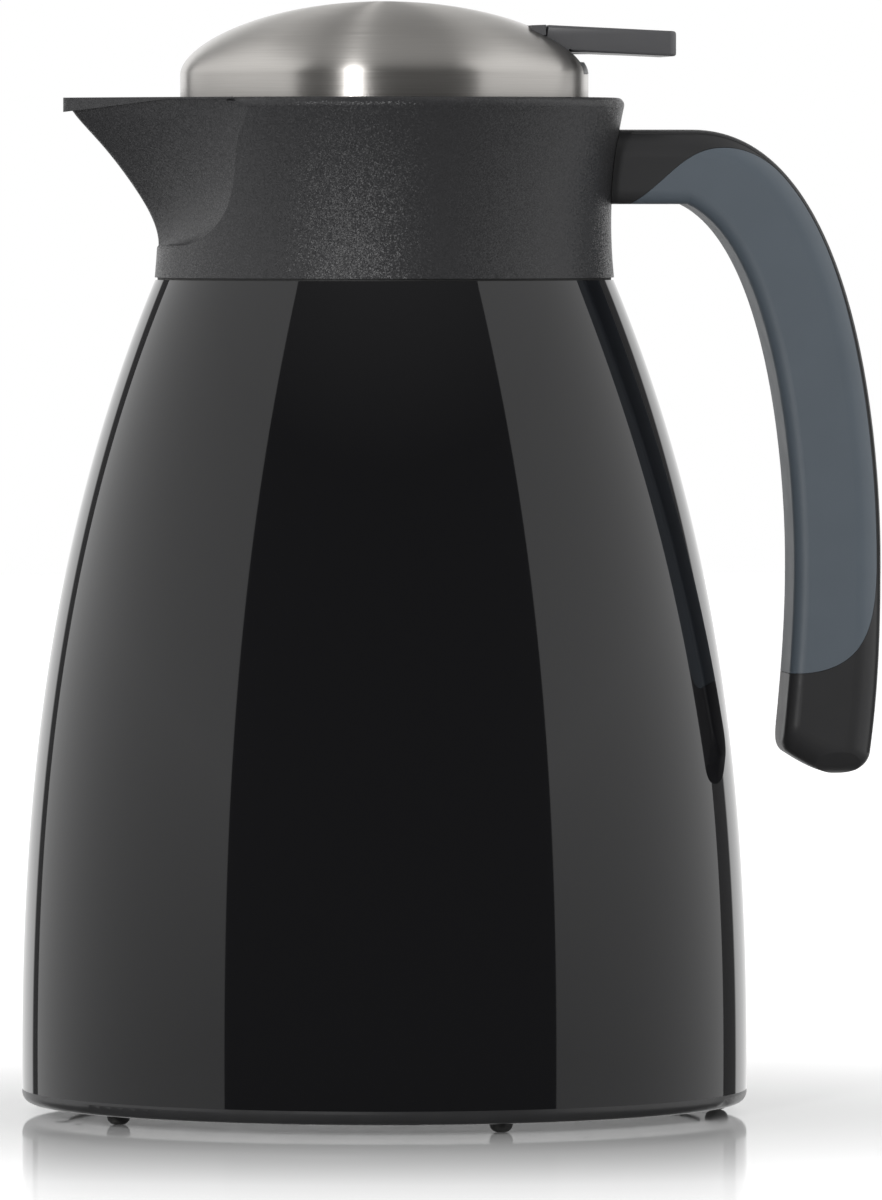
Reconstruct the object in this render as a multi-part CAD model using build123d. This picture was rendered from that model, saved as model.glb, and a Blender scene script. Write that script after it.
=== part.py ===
from build123d import *
import os
from math import cos, radians, sin, sqrt, tan

# Thermal carafe: glossy tapered shell, glass flask, spouted collar, hanging handle and a screw-in
# lid with a thumb lever that lifts a valve. Millimetres, +Z up, the origin on the body's axis at
# the surface that it stands on, the spout towards -X and the handle and lever towards +X.

# Clearances: between fixed pieces, round shafts, and between moving pieces
FIT = 0.1
SHAFT_FIT = 0.05
MOVING_GAP = 0.3

# Screws
SCREW_R = 1.5
SCREW_HEAD_R = 3.0
SCREW_HEAD = 1.8
SCREW_LENGTH = 12.0
DRIVE_WIDTH = 0.8
DRIVE_LENGTH = 3.6

# Base and feet
FOOT_HEIGHT = 2.0
FOOT_R = 2.5
FOOT_ROUND = 1.8
FOOT_INSET = 6.35
FOOT_COUNT = 5
FOOT_TURN = -3.7
BASE_R = 77.85
BASE_RIM_HEIGHT = 3.0
BASE_RIM_WIDTH = 9.9
BASE_RIM_FILLET = 2.4
BASE_PLATE = 2.4
BASE_LIP_HEIGHT = 5.0
BASE_LIP = 1.8
CUP_WALL = 2.0
CUP_HEIGHT = 5.0
BASE_SCREW_COUNT = 3
BASE_SCREW_INSET = 9.85
SCREW_PAD = 1.8
SCREW_WEB = 0.4

# Outer shell
SHELL_HEIGHT = 173.6
SHELL_SETBACK = 0.1
SHELL_WALL = 2.2
SHELL_FOOT_LEAN = 89.5
SHELL_SHOULDER_LEAN = 112.8
SHELL_PULL = 60.0
SHELL_TOP_FILLET = 1.6
SHELL_LEDGE = 2.2
SHELL_LEDGE_WIDTH = 6.2
BOSS_R = 4.5
BOSS_HEIGHT = 14.0
BOSS_WEB = 3.0
BOSS_CAP = 2.0
SHELL_GASKET = 0.5
GASKET_SETBACK = 0.3
GASKET_EDGE_SETBACK = 0.5

# Collar
COLLAR_HEIGHT = 38.5
COLLAR_WALL = 2.8
COLLAR_WAIST_RISE = 16.6
COLLAR_FOOT_FLARE = 0.5
COLLAR_TOP_FLARE = 3.1
COLLAR_TOP_FILLET = 1.6
COLLAR_FLOOR = 2.5
COLLAR_SKIRT = 2.2
COLLAR_SKIRT_DEPTH = 8.0

# Glass flask, its height under the collar's floor, its pads and seals
FLASK_R = 60.0
FLASK_CUSHION = 6.0
FLASK_BOTTOM_CORNER = 20.0
FLASK_SHOULDER_DROP = 88.0
FLASK_NECK = 18.0
FLASK_NECK_BORE_R = 28.5
FLASK_LIP_RISE = 6.9
FLASK_PULL = 30.0
GLASS = 2.0
VACUUM = 4.0
NECK_VACUUM = 1.5
PIP_R = 3.0
PIP_LENGTH = 3.0
VACUUM_PAD_R = 4.0
VACUUM_PAD_COUNT = 3
VACUUM_PAD_RISE = 69.0
CUSHION_R = 30.0
CUSHION_HOLE_R = 5.0
NECK_SEAL = 2.0
NECK_SEAL_SETBACK = 0.6
MOUTH_GAP = 0.8

# Spout: keel from its foot on the collar to below the lip, flanks, lip plate and trough
KEEL_FOOT_SINK = 31.6
KEEL_FOOT_INSET = 0.2
KEEL_TOP_SINK = 3.8
KEEL_TOP_REACH = 17.6
KEEL_FOOT_ANGLE = 86.0
KEEL_TOP_ANGLE = 133.0
KEEL_PULL = 7.5
NOSE_R = 3.0
FLANK_FOOT_ANGLE = 10.0
FLANK_TOP_ANGLE = 41.4
LIP_ANGLE = 42.2
FLANK_EASE = 0.56
RUN_OUT = 2.0
SPOUT_WALL = 2.2
SPOUT_SECTIONS = 5
SECTION_SPREAD = 1.3
SPOUT_JOIN = 12.8
SPOUT_FOOT_WIDTH = 16.0
SPOUT_TOP_WIDTH = 72.0
LIP_REACH = 20.3
LIP_THICKNESS = 3.1
LIP_ROOT_THICKNESS = 0.4
LIP_OVERHANG = 0.6

# Threaded insert and thread
INSERT_HEIGHT = 15.3
INSERT_WALL = 3.9
INSERT_FLANGE = 1.6
INSERT_FLANGE_LAP = 2.7
THREAD_STARTS = 3
THREAD_LEAD = 24.0
THREAD_BAND = 26.0
THREAD_DEPTH = 1.1
THREAD_ROOT = 0.5
RIDGE_RISE = 5.0
RIDGE_FOOT = 4.0
LUG_RISE = 2.4
LUG_FOOT = 3.5
LUG_TO_RIDGE = 60.0

# Lid body: stopper, flange and threaded skirt
PLUG_R = 27.0
PLUG_WALL = 3.5
PLUG_LENGTH = 19.0
PLUG_FLOOR = 2.5
SEAT_R = 15.0
FLANGE = 2.2
FLANGE_GAP = 0.5
LID_SKIRT_R = 38.0
LID_SKIRT_WALL = 2.2
LID_SKIRT_HEIGHT = 22.0
WINDOW_HALF_ANGLE = 32.0
WINDOW_HEIGHT = 6.5
VENT_HALF_ANGLE = 8.0
GASKET_RISE = 9.0
GASKET_HEIGHT = 4.0
GASKET_CLEARANCE = 0.3
GASKET_CHAMFER = 1.0
GASKET_VALLEY = 0.6
GROOVE_DEPTH = 2.0
DECK_BOSS_R = 4.2
DECK_BOSS_INSET = 7.5
DECK_BOSS_COUNT = 3

# Lid deck, dome and bezel
DECK_SEAL = 0.6
DECK_GAP = 0.6
DECK = 2.4
DECK_RIM_WALL = 2.0
DECK_RIM_HEIGHT = 4.0
DOME_GAP = 2.2
DOME_SKIRT = 6.6
DOME_RISE = 15.7
DOME_SHEET = 0.8
DOME_TOP_PULL = 26.9
DOME_SIDE_PULL = 5.9
SLOT_LENGTH = 13.7
BEZEL_WALL = 0.9
BEZEL_FLANGE = 1.0
BEZEL_DEPTH = 2.2
APRON_HEIGHT = 2.6
CREST_HEIGHT = 1.6

# Valve
STEM_R = 2.5
GUIDE_R = 6.0
GUIDE_LENGTH = 16.6
STEM_SEAL = 2.0
STEM_SEAL_RISE = 1.5
VALVE_DISC_R = 18.0
VALVE_DISC = 2.4
VALVE_SEAL = 1.2
VALVE_SEAL_LAP = 1.5
SPRING_CUP = 1.6
SPRING_CUP_LAP = 1.2
SPRING_COIL_R = 4.4
SPRING_WIRE_R = 0.5
SPRING_TURNS = 6
HEAD_R = 6.5
HEAD = 2.8
HEAD_ROUND = 1.1

# Lever
LEVER_PIN_INSET = 13.8
LEVER_PIN_RISE = 8.5
LEVER_PIN_R = 1.5
LEVER_WIDTH = 26.0
LEVER_REACH = 28.1
LEVER_ROOT_INSET = 10.2
LEVER_TOP_DROP = 5.15
LEVER_DROOP = 2.7
LEVER_THICKNESS = 5.4
LEVER_UNDER_RUN = 5.5
LEVER_CORNER = 2.0
LEVER_HUB_R = 2.9
LEVER_NECK = 2.4
ARM_HALF_WIDTH = 7.0
ARM_THICKNESS = 3.6
ARM_OVERHANG = 7.0
NIB_R = 1.0
FORK_GAP = 0.7
EAR = 2.6
EAR_R = 3.2

# Handle: measured down from its top and out from the body's axis
HANDLE_DEPTH = 20.5
HANDLE_TOP_DROP = 6.8
HANDLE_ROOT_SINK = 4.8
HANDLE_ROOT_THICKNESS = 16.0
HANDLE_TOP_TURN_X = 66.0
HANDLE_UNDER_TURN_X = 64.6
HANDLE_OUTER_X = 106.9
HANDLE_OUTER_DROP = 93.0
HANDLE_THICKNESS = 19.2
HANDLE_LENGTH = 138.6
HANDLE_END_OUTER_X = 104.6
HANDLE_END_INNER_X = 85.2
HANDLE_END_LOW_X = 97.5
HANDLE_END_CORNER = 4.6
HANDLE_END_BEVEL = 5.0
HANDLE_OUTER_FILLET = 6.0
HANDLE_INNER_FILLET = 3.0
SHOULDER_PULL = 33.4
LOWER_PULL = 14.0
PALM_PULL = 21.0
END_TILT = 1.0
CORNER_PULL = 2.6
SOLE_PULL = 4.0
GRIP_FOOT_X = 52.0
GRIP_CREST_X = 72.3
GRIP_CREST_DROP = 3.8
GRIP_END_RISE = 21.7
GRIP_COVER = 4.5
RIB_WIDTH = 15.0
SPINE = 1.2
RIB_START = 9.0
FOOT_PULL = 9.0
CREST_PULL = 24.0
SPINE_PULL = 37.0
END_PULL = 14.5
HANDLE_SCREW_RISE = 5.6
HANDLE_SCREW_SPACING = 12.4
HANDLE_SCREW_SEAT = 3.0

# Heights and radii that follow from the sizes above
INSERT_BORE_R = LID_SKIRT_R + THREAD_DEPTH + MOVING_GAP
INSERT_R = INSERT_BORE_R + INSERT_WALL
COLLAR_BORE_R = INSERT_R + INSERT_FLANGE_LAP
COLLAR_WAIST_R = COLLAR_BORE_R + COLLAR_WALL
COLLAR_BOTTOM_R = COLLAR_WAIST_R + COLLAR_FOOT_FLARE
COLLAR_TOP_R = COLLAR_WAIST_R + COLLAR_TOP_FLARE
SHELL_TOP_R = COLLAR_BOTTOM_R - SHELL_SETBACK
DOME_R = COLLAR_BORE_R - DOME_GAP
BASE_TOP_Z = FOOT_HEIGHT + BASE_RIM_HEIGHT
FOOT_CIRCLE_R = BASE_R - FOOT_INSET
SCREW_CIRCLE_R = BASE_R - BASE_SCREW_INSET
SCREW_SEAT_Z = BASE_TOP_Z - SCREW_WEB
SHELL_TOP_Z = BASE_TOP_Z + SHELL_HEIGHT
SHELL_LEDGE_R = SHELL_TOP_R - SHELL_LEDGE_WIDTH
COLLAR_BOTTOM_Z = SHELL_TOP_Z + SHELL_GASKET
COLLAR_WAIST_Z = COLLAR_BOTTOM_Z + COLLAR_WAIST_RISE
COLLAR_TOP_Z = COLLAR_BOTTOM_Z + COLLAR_HEIGHT
SKIRT_R = SHELL_LEDGE_R - FIT
FLASK_BOTTOM_Z = BASE_TOP_Z + FLASK_CUSHION
FLASK_LIP_Z = COLLAR_BOTTOM_Z + FLASK_LIP_RISE
FLASK_NECK_Z = FLASK_LIP_Z - FLASK_NECK
FLASK_SHOULDER_Z = FLASK_LIP_Z - FLASK_SHOULDER_DROP
NECK_INNER_R = FLASK_NECK_BORE_R + GLASS
NECK_VACUUM_R = NECK_INNER_R + NECK_VACUUM
NECK_OUTER_R = NECK_VACUUM_R + GLASS
COLLAR_FLOOR_Z = FLASK_LIP_Z + NECK_SEAL
COLLAR_MOUTH_R = FLASK_NECK_BORE_R + MOUTH_GAP
INSERT_Z = COLLAR_FLOOR_Z + COLLAR_FLOOR
INSERT_TOP_Z = INSERT_Z + INSERT_HEIGHT
FLANGE_Z = INSERT_Z + FLANGE_GAP
PLUG_BOTTOM_Z = FLANGE_Z - PLUG_LENGTH
SEAT_Z = PLUG_BOTTOM_Z + PLUG_FLOOR
GASKET_Z = PLUG_BOTTOM_Z + GASKET_RISE
GASKET_R = FLASK_NECK_BORE_R - GASKET_CLEARANCE
LID_SKIRT_TOP_Z = FLANGE_Z + LID_SKIRT_HEIGHT
WINDOW_Z = LID_SKIRT_TOP_Z - WINDOW_HEIGHT
TROUGH_FLOOR_Z = WINDOW_Z
DECK_BOSS_CIRCLE_R = LID_SKIRT_R - DECK_BOSS_INSET
DECK_Z = LID_SKIRT_TOP_Z + DECK_SEAL
DECK_TOP_Z = DECK_Z + DECK
DECK_R = COLLAR_BORE_R - DECK_GAP
GUIDE_BOTTOM_Z = DECK_Z - GUIDE_LENGTH
DOME_SHOULDER_Z = DECK_TOP_Z + DOME_SKIRT
DOME_TOP_Z = DOME_SHOULDER_Z + DOME_RISE
VALVE_DISC_Z = SEAT_Z + MOVING_GAP + VALVE_SEAL
SPRING_Z = VALVE_DISC_Z + VALVE_DISC + SPRING_CUP
LEVER_HALF_WIDTH = LEVER_WIDTH / 2
LEVER_PIN_X = DOME_R - LEVER_PIN_INSET
LEVER_ROOT_X = DOME_R - LEVER_ROOT_INSET
LEVER_PIN_Z = DECK_TOP_Z + LEVER_PIN_RISE
LEVER_TOP_Z = DOME_TOP_Z - LEVER_TOP_DROP
LEVER_TIP_X = LEVER_ROOT_X + LEVER_REACH
ARM_Z = LEVER_PIN_Z - ARM_THICKNESS / 2
NIB_Z = LEVER_PIN_Z + ARM_THICKNESS / 2
HEAD_Z = NIB_Z + NIB_R + MOVING_GAP
SLOT_HALF_WIDTH = LEVER_HALF_WIDTH + MOVING_GAP + BEZEL_WALL + FIT
SLOT_INNER_X = DOME_R - SLOT_LENGTH
APRON_TOP_Z = DOME_SHOULDER_Z + APRON_HEIGHT
KEEL_FOOT = (-COLLAR_WAIST_R + KEEL_FOOT_INSET, COLLAR_TOP_Z - KEEL_FOOT_SINK)
KEEL_TOP = (-COLLAR_WAIST_R - KEEL_TOP_REACH, COLLAR_TOP_Z - KEEL_TOP_SINK)
SPOUT_JOIN_X = -COLLAR_WAIST_R + SPOUT_JOIN
LIP_TIP_X = -COLLAR_WAIST_R - LIP_REACH
LIP_TIP_Z = COLLAR_TOP_Z - LIP_THICKNESS
HANDLE_HALF_DEPTH = HANDLE_DEPTH / 2
HANDLE_ROOT_X = COLLAR_WAIST_R - HANDLE_ROOT_SINK
RIB_HALF_WIDTH = RIB_WIDTH / 2
HANDLE_TOP_Z = COLLAR_TOP_Z - HANDLE_TOP_DROP
HANDLE_UNDER_Z = HANDLE_TOP_Z - HANDLE_ROOT_THICKNESS
HANDLE_OUTER_Z = HANDLE_TOP_Z - HANDLE_OUTER_DROP
HANDLE_INNER_X = HANDLE_OUTER_X - HANDLE_THICKNESS
HANDLE_END_Z = HANDLE_TOP_Z - HANDLE_LENGTH
HANDLE_END_SIDE_Z = HANDLE_END_Z + HANDLE_END_CORNER
GRIP_CREST_Z = HANDLE_TOP_Z - GRIP_CREST_DROP
GRIP_LOW_Z = HANDLE_END_Z + GRIP_END_RISE
HANDLE_SCREW_Z = HANDLE_UNDER_Z + HANDLE_SCREW_RISE
SCREW_SEAT_X = COLLAR_WAIST_R - HANDLE_SCREW_SEAT

# Reach of cutting tools, well past the object
BIG = 400.0
PAST = 5.0
XZ = Plane(origin=(0, 0, 0), x_dir=(1, 0, 0), z_dir=(0, -1, 0))


def towards(point, angle, distance):
    """The point at a distance from another, along an angle in degrees."""
    return (point[0] + distance * cos(radians(angle)), point[1] + distance * sin(radians(angle)))


def curve(start, start_angle, start_pull, end, end_angle, end_pull):
    """A smooth curve that leaves start and reaches end along the given angles."""
    return Bezier(start, towards(start, start_angle, start_pull), towards(end, end_angle, -end_pull), end)


def polygon(*points):
    """A flat face through the points."""
    return make_face(Polyline(*points, close=True))


def turned(face):
    """The solid of revolution of a face drawn as (radius, z)."""
    return revolve(XZ * face, Axis.Z)


def across(face, half_width):
    """A face drawn as (x, z), made into a solid from -half_width to +half_width along Y."""
    return extrude(XZ * face, amount=half_width, both=True)


def ring(inner_r, outer_r, bottom, top):
    """A plain ring about the Z axis."""
    return turned(polygon((inner_r, bottom), (outer_r, bottom), (outer_r, top), (inner_r, top)))


def disc(r, bottom, top):
    """A plain disc about the Z axis."""
    return Pos(0, 0, bottom) * extrude(Circle(r), amount=top - bottom)


def cylinder_along_x(r, start, end):
    """A plain round bar along the X axis."""
    return Pos(start, 0, 0) * Rot(0, 90, 0) * extrude(Circle(r), amount=end - start)


def box(x_range, y_range, z_range):
    """A box between two corners."""
    lows, highs = zip(x_range, y_range, z_range)
    size = [high - low for low, high in zip(lows, highs)]
    return Pos(*lows) * Box(*size, align=(Align.MIN,) * 3)


def around(piece, count, start=0.0):
    """Copies of a piece spread evenly about the Z axis."""
    return [Rot(0, 0, start + 360 / count * i) * piece for i in range(count)]


def screw():
    """A cross-slotted screw along +Z, its head's underside at z = 0."""
    cross = Rectangle(DRIVE_WIDTH, DRIVE_LENGTH) + Rectangle(DRIVE_LENGTH, DRIVE_WIDTH)
    drive = Pos(0, 0, -SCREW_HEAD) * extrude(cross, amount=SCREW_HEAD / 2)
    return disc(SCREW_HEAD_R, -SCREW_HEAD, 0) + disc(SCREW_R, 0, SCREW_LENGTH) - drive


def sector(inner_r, outer_r, half_angle, bottom, top, middle=0.0):
    """A piece of a ring, within half_angle either side of the middle direction."""
    reach = outer_r / cos(radians(half_angle)) + PAST
    sides = [towards((0, 0), middle + turn, reach) for turn in (-half_angle, half_angle)]
    wedge = polygon((0, 0), *sides)
    return ring(inner_r, outer_r, bottom, top) & Pos(0, 0, bottom) * extrude(wedge, amount=top - bottom)


def thread_band(inner_r, outer_r, rise, start, bottom):
    """One stretch of right-hand thread, as a ring sector that turns as it climbs."""
    corners = []
    for r, side in ((inner_r, -1), (outer_r, -1), (outer_r, 1), (inner_r, 1)):
        corners.append(towards((0, 0), side * THREAD_BAND / 2, r))
    outline = [
        Line(corners[0], corners[1]),
        RadiusArc(corners[1], corners[2], -outer_r),
        Line(corners[2], corners[3]),
        RadiusArc(corners[3], corners[0], inner_r),
    ]
    face = Rot(0, 0, start) * Pos(0, 0, bottom) * make_face(outline)
    turn = 360 * rise / THREAD_LEAD
    return Solid.extrude_linear_with_rotation(face.face(), (0, 0, bottom), (0, 0, rise), turn)


# Base: rim that shows below the shell, floor plate, lip inside the shell and cup for the flask
def base_screw_places(piece, z=0.0):
    """Copies at the base's screws, which lie between the feet."""
    return around(Pos(SCREW_CIRCLE_R, 0, z) * piece, BASE_SCREW_COUNT, 180 / BASE_SCREW_COUNT)


def base_cap():
    floor_z = BASE_TOP_Z - BASE_PLATE
    rim_in = BASE_R - BASE_RIM_WIDTH
    cup_r = CUSHION_R + CUP_WALL
    lip_r = BASE_R - SHELL_WALL - FIT
    lip_top = BASE_TOP_Z + BASE_LIP_HEIGHT
    cup_top = BASE_TOP_Z + CUP_HEIGHT
    body = turned(polygon(
        (0, floor_z), (rim_in, floor_z), (rim_in, FOOT_HEIGHT), (BASE_R, FOOT_HEIGHT), (BASE_R, BASE_TOP_Z),
        (lip_r, BASE_TOP_Z), (lip_r, lip_top), (lip_r - BASE_LIP, lip_top), (lip_r - BASE_LIP, BASE_TOP_Z),
        (cup_r, BASE_TOP_Z), (cup_r, cup_top), (CUSHION_R, cup_top), (CUSHION_R, BASE_TOP_Z),
        (0, BASE_TOP_Z)))
    low_edges = body.edges().filter_by(GeomType.CIRCLE).group_by(Axis.Z)[0]
    body = fillet(low_edges.sort_by(SortBy.RADIUS)[-1], BASE_RIM_FILLET)
    for notch in base_screw_places(boss(MOVING_GAP, BASE_LIP_HEIGHT + PAST), BASE_TOP_Z):
        body -= notch
    for pad in base_screw_places(disc(BOSS_R, 0, SCREW_PAD), BASE_TOP_Z - FIT):
        body += pad
    for recess in base_screw_places(disc(SCREW_HEAD_R + FIT, 0, SCREW_SEAT_Z)):
        body -= recess
    for hole in base_screw_places(disc(SCREW_R + FIT, 0, BASE_TOP_Z + SCREW_PAD + PAST)):
        body -= hole
    return body


def base_screws():
    return base_screw_places(screw(), SCREW_SEAT_Z)


def feet():
    foot = disc(FOOT_R, 0, FOOT_HEIGHT)
    foot = fillet(foot.edges().filter_by(GeomType.CIRCLE).sort_by(Axis.Z)[0], FOOT_ROUND)
    return around(Pos(FOOT_CIRCLE_R, 0, 0) * foot, FOOT_COUNT, FOOT_TURN)


# Outer shell: one smooth taper from the base rim to the shoulder, with a ledge for the collar
def shell_face(inset, top):
    """Half section of the space inside the shell's surface moved in by inset."""
    foot = (BASE_R - inset, BASE_TOP_Z)
    shoulder = (SHELL_TOP_R - inset, top)
    side = curve(foot, SHELL_FOOT_LEAN, SHELL_PULL, shoulder, SHELL_SHOULDER_LEAN, SHELL_PULL)
    return make_face([side, Polyline(shoulder, (0, top), (0, BASE_TOP_Z), foot)])


def outer_shell():
    body = turned(shell_face(0, SHELL_TOP_Z))
    body = fillet(body.edges().filter_by(GeomType.CIRCLE).sort_by(Axis.Z)[-1], SHELL_TOP_FILLET)
    body -= turned(shell_face(SHELL_WALL, SHELL_TOP_Z - SHELL_LEDGE))
    body -= disc(SHELL_LEDGE_R, SHELL_TOP_Z - SHELL_LEDGE - PAST, SHELL_TOP_Z + PAST)
    inside = turned(shell_face(SHELL_WALL / 2, SHELL_TOP_Z))
    low = BASE_TOP_Z + SCREW_PAD
    for place in base_screw_places(boss(0, BOSS_HEIGHT), low):
        body += place & inside
    for hole in base_screw_places(disc(SCREW_R + FIT, 0, BOSS_HEIGHT - BOSS_CAP), low):
        body -= hole
    return body


def boss(clearance, height):
    """A screw boss on the shell's wall, with the web that joins it to the wall."""
    web = Pos(BOSS_R, 0) * Rectangle(BOSS_R * 2, BOSS_WEB + clearance * 2)
    return extrude(Circle(BOSS_R + clearance) + web, amount=height)


def shell_gasket():
    outer = SHELL_TOP_R - GASKET_EDGE_SETBACK
    return ring(SHELL_LEDGE_R + GASKET_SETBACK, outer, SHELL_TOP_Z, COLLAR_BOTTOM_Z)


# Glass flask: two bulbs with the vacuum between them, joined at the lip
def flask_face(inset, neck_r, top):
    """Half section of a bulb that lies inset inside the outermost glass surface."""
    radius = FLASK_R - inset
    bottom = FLASK_BOTTOM_Z + inset
    corner = FLASK_BOTTOM_CORNER - inset
    shoulder = (radius, FLASK_SHOULDER_Z)
    neck = (neck_r, FLASK_NECK_Z)
    return make_face([
        RadiusArc((radius - corner, bottom), (radius, bottom + corner), -corner),
        Line((radius, bottom + corner), shoulder),
        curve(shoulder, 90, FLASK_PULL, neck, 90, FLASK_PULL),
        Polyline(neck, (neck_r, top), (0, top), (0, bottom), (radius - corner, bottom)),
    ])


def flask_outer_wall():
    top = FLASK_LIP_Z - GLASS
    wall = turned(flask_face(0, NECK_OUTER_R, top)) - turned(flask_face(GLASS, NECK_VACUUM_R, top + PAST))
    return wall + disc(PIP_R, FLASK_BOTTOM_Z - PIP_LENGTH, FLASK_BOTTOM_Z + GLASS / 2)


def flask_inner_wall():
    inset = GLASS + VACUUM
    wall = turned(flask_face(inset, NECK_INNER_R, FLASK_LIP_Z))
    wall += ring(FLASK_NECK_BORE_R, NECK_OUTER_R, FLASK_LIP_Z - GLASS, FLASK_LIP_Z)
    return wall - turned(flask_face(inset + GLASS, FLASK_NECK_BORE_R, FLASK_LIP_Z + PAST))


def vacuum_pads():
    z = FLASK_BOTTOM_Z + VACUUM_PAD_RISE
    outer = FLASK_R - GLASS
    band = ring(outer - VACUUM + FIT, outer - FIT, z - VACUUM_PAD_R, z + VACUUM_PAD_R)
    return around(band & Pos(0, 0, z) * cylinder_along_x(VACUUM_PAD_R, 0, FLASK_R), VACUUM_PAD_COUNT)


def flask_cushion():
    return ring(CUSHION_HOLE_R, CUSHION_R - FIT, BASE_TOP_Z, FLASK_BOTTOM_Z)


def neck_seal():
    return ring(FLASK_NECK_BORE_R + NECK_SEAL_SETBACK, NECK_OUTER_R, FLASK_LIP_Z, COLLAR_FLOOR_Z)


# Collar: waisted ring with a pinched spout, a lip plate and a trough that opens into the bore
def collar_envelope(clearance=0.0):
    """The solid inside the collar's outer surface, without the spout."""
    foot = (COLLAR_BOTTOM_R + clearance, COLLAR_BOTTOM_Z)
    waist = (COLLAR_WAIST_R + clearance, COLLAR_WAIST_Z)
    rim = (COLLAR_TOP_R + clearance, COLLAR_TOP_Z)
    axis = [(0, COLLAR_TOP_Z), (0, COLLAR_BOTTOM_Z)]
    return turned(make_face([ThreePointArc(foot, waist, rim), Polyline(rim, *axis, foot)]))


def wedge_section(z, nose_x, flank_angle, inset=0.0):
    """The spout's outline at one height: two flanks from a small round nose to beyond the collar."""
    centre_x = nose_x + NOSE_R
    back_x = COLLAR_TOP_R + PAST
    touch_x, touch_y = towards((centre_x, 0), 180 - flank_angle, NOSE_R - inset)
    end_x, end_y = towards((touch_x, touch_y), 90 - flank_angle, COLLAR_TOP_R * 2)
    nose = ThreePointArc((touch_x, -touch_y), (nose_x + inset, 0), (touch_x, touch_y))
    right = [(touch_x, touch_y), (end_x, end_y), (back_x, end_y)]
    left = [(back_x, -end_y), (end_x, -end_y), (touch_x, -touch_y)]
    return Pos(0, 0, z) * make_face([nose, Polyline(*right, *left)])


def spout_wedge(inset=0.0):
    """The pinched spout as a solid, its walls moved in by inset; it opens out along the keel."""
    keel = curve(KEEL_FOOT, KEEL_FOOT_ANGLE, KEEL_PULL, KEEL_TOP, KEEL_TOP_ANGLE, KEEL_PULL)
    sections = []
    for i in range(SPOUT_SECTIONS + 1):
        part = (i / SPOUT_SECTIONS) ** SECTION_SPREAD
        point = keel @ part
        angle = FLANK_FOOT_ANGLE + (FLANK_TOP_ANGLE - FLANK_FOOT_ANGLE) * part ** FLANK_EASE
        sections.append(wedge_section(point.Y, point.X, angle, inset))
    top = wedge_section(COLLAR_TOP_Z, LIP_TIP_X + LIP_OVERHANG, LIP_ANGLE, inset)
    return loft([*sections, top])


def spout_reach():
    """Where the spout stands out from the collar: a space that widens upwards between its flanks."""
    foot, top = SPOUT_FOOT_WIDTH / 2, SPOUT_TOP_WIDTH / 2
    low_z = KEEL_FOOT[1]
    front = polygon((-foot, low_z), (foot, low_z), (top, COLLAR_TOP_Z), (-top, COLLAR_TOP_Z))
    return Pos(SPOUT_JOIN_X, 0, 0) * extrude(Plane.YZ * front, amount=-BIG)


def spout_run_out():
    """Below the keel the flanks leave the collar's wall again."""
    x, z = KEEL_FOOT
    low = wedge_section(z - RUN_OUT, x - RUN_OUT, FLANK_FOOT_ANGLE)
    return loft([low, wedge_section(z, x, FLANK_FOOT_ANGLE)], ruled=True)


def spout_lip():
    """The plate that edges the spout, which thins out towards the collar and ends as a skin on its rim."""
    plate = extrude(wedge_section(LIP_TIP_Z, LIP_TIP_X, LIP_ANGLE), amount=LIP_THICKNESS)
    root_z = COLLAR_TOP_Z - LIP_ROOT_THICKNESS
    tip_x = LIP_TIP_X - FIT
    root = [(-COLLAR_WAIST_R, root_z), (SPOUT_JOIN_X, root_z), (SPOUT_JOIN_X, COLLAR_TOP_Z)]
    side = polygon((tip_x, LIP_TIP_Z), *root, (tip_x, COLLAR_TOP_Z))
    return plate & across(side, BIG)


def collar():
    rim = collar_envelope()
    rim = fillet(rim.edges().filter_by(GeomType.CIRCLE).sort_by(Axis.Z)[-1], COLLAR_TOP_FILLET)
    wedge = spout_wedge()
    pinched = rim & (wedge + spout_run_out())
    below = rim & disc(BIG, COLLAR_BOTTOM_Z, KEEL_FOOT[1] - RUN_OUT)
    spout = wedge & spout_reach()
    body = pinched + below + spout + spout_lip()
    skirt_low = COLLAR_BOTTOM_Z - COLLAR_SKIRT_DEPTH
    body += ring(SKIRT_R - COLLAR_SKIRT, SKIRT_R, skirt_low, COLLAR_FLOOR_Z)
    body -= disc(SKIRT_R - COLLAR_SKIRT, skirt_low, COLLAR_FLOOR_Z)
    body -= disc(COLLAR_MOUTH_R, COLLAR_FLOOR_Z, COLLAR_TOP_Z)
    body -= disc(INSERT_R + FIT, INSERT_Z, COLLAR_TOP_Z)
    body -= disc(COLLAR_BORE_R, INSERT_TOP_Z - INSERT_FLANGE, COLLAR_TOP_Z)
    body -= spout_wedge(SPOUT_WALL) & box((-BIG, SPOUT_JOIN_X), (-BIG, BIG), (TROUGH_FLOOR_Z, COLLAR_TOP_Z))
    for recess in handle_screw_places(cylinder_along_x(SCREW_HEAD_R + FIT, INSERT_R - PAST, SCREW_SEAT_X)):
        body -= recess
    for hole in handle_screw_places(cylinder_along_x(SCREW_R + FIT, INSERT_R, BIG)):
        body -= hole
    return body


def thread_insert():
    low = INSERT_TOP_Z - INSERT_FLANGE
    body = turned(polygon(
        (INSERT_BORE_R, INSERT_Z), (INSERT_R, INSERT_Z), (INSERT_R, low), (COLLAR_BORE_R - FIT, low),
        (COLLAR_BORE_R - FIT, INSERT_TOP_Z), (INSERT_BORE_R, INSERT_TOP_Z)))
    crest = LID_SKIRT_R + MOVING_GAP
    root = INSERT_BORE_R + THREAD_ROOT
    for i in range(THREAD_STARTS):
        start = LUG_TO_RIDGE + i * 360 / THREAD_STARTS
        body += thread_band(crest, root, RIDGE_RISE, start, INSERT_Z + RIDGE_FOOT)
    return body


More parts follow.
